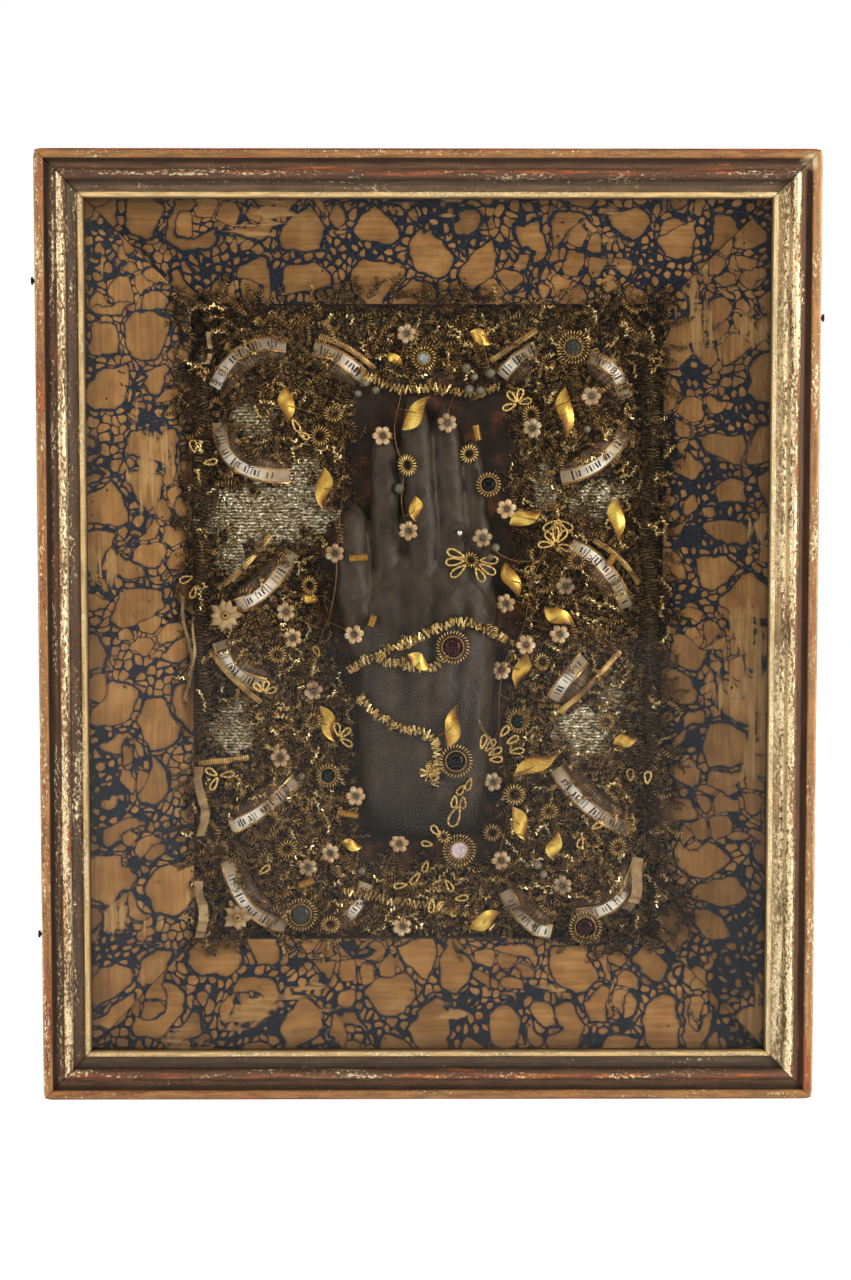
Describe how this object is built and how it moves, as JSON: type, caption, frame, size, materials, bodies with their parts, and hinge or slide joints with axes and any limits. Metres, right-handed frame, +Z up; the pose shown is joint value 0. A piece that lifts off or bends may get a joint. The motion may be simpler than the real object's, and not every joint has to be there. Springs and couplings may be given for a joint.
{
  "type": "reliquary panel",
  "caption": "Glazed wooden shadow box with a moulded gilt frame, paper-lined splayed sides and a cast hand on a padded ground among name strips, gilt wire and stones.",
  "frame": {"origin": "middle of the panel's footprint, on the surface that its bottom edge stands on", "axes": "+Z up along the panel's height, -Y out of the glass towards the viewer, +X to the viewer's right"},
  "size_m": [0.3552, 0.07, 0.428],
  "materials": {
    "gilt_wood": "silver-gilt moulding worn to its red-brown ground, with an ochre outer bead and a cream sight edge",
    "clear_glass": "old clear sheet glass",
    "case_wood": "dark stained softwood, dull",
    "marbled_paper": "marbled paper, tan cells between indigo veins, dull and aged",
    "tray_card": "dull brown card",
    "padded_cloth": "red-brown cloth and tarnished silver lame over wadding",
    "hand_plaster": "cast and painted dark warm grey, soft sheen",
    "label_paper": "off-white paper with gilt edges",
    "gilt_foil": "crimped gilt foil, bright",
    "gilt_wire": "gilt wire and foil, lightly tarnished",
    "coloured_glass": "glass stones in collars of coiled wire",
    "tarnished_wire": "dark tarnished frizzy wire",
    "iron": "dark hand-made nails"
  },
  "bodies": {
    "root": {"back_board": "case_wood", "case_bottom": "case_wood", "case_left": "case_wood", "case_right": "case_wood", "case_top": "case_wood", "cast_hand": "hand_plaster", "frame_bottom": "gilt_wood", "frame_left": "gilt_wood", "frame_right": "gilt_wood", "frame_top": "gilt_wood", "garland_bottom": "gilt_wire", "garland_lower": "gilt_wire", "garland_top": "gilt_wire", "garland_upper": "gilt_wire", "gilt_bar_1": "gilt_foil", "gilt_bar_2": "gilt_foil", "gilt_bar_3": "gilt_foil", "gilt_bar_4": "gilt_foil", "gilt_bar_5": "gilt_foil", "gilt_bar_6": "gilt_foil", "gilt_bar_7": "gilt_foil", "glass_pane": "clear_glass", "jewel_bottom_left": "coloured_glass", "jewel_bottom_right": "coloured_glass", "jewel_finger": "coloured_glass", "jewel_left": "coloured_glass", "jewel_right": "coloured_glass", "jewel_top": "coloured_glass", "jewel_top_right": "coloured_glass", "jewel_wrist": "coloured_glass", "nail_1": "iron", "nail_2": "iron", "nail_3": "iron", "name_strip_01": "label_paper", "name_strip_02": "label_paper", "name_strip_03": "label_paper", "name_strip_04": "label_paper", "name_strip_05": "label_paper", "name_strip_06": "label_paper", "name_strip_07": "label_paper", "name_strip_08": "label_paper", "name_strip_09": "label_paper", "name_strip_10": "label_paper", "name_strip_11": "label_paper", "name_strip_12": "label_paper", "name_strip_13": "label_paper", "name_strip_14": "label_paper", "name_strip_15": "label_paper", "name_strip_16": "label_paper", "padded_ground": "padded_cloth", "relic_tray": "tray_card", "splay_bottom": "marbled_paper", "splay_left": "marbled_paper", "splay_right": "marbled_paper", "splay_top": "marbled_paper", "spray_left": "gilt_wire", "spray_right": "gilt_wire", "wire_edging_left": "tarnished_wire", "wire_edging_right": "tarnished_wire"}
  },
  "joints": []
}
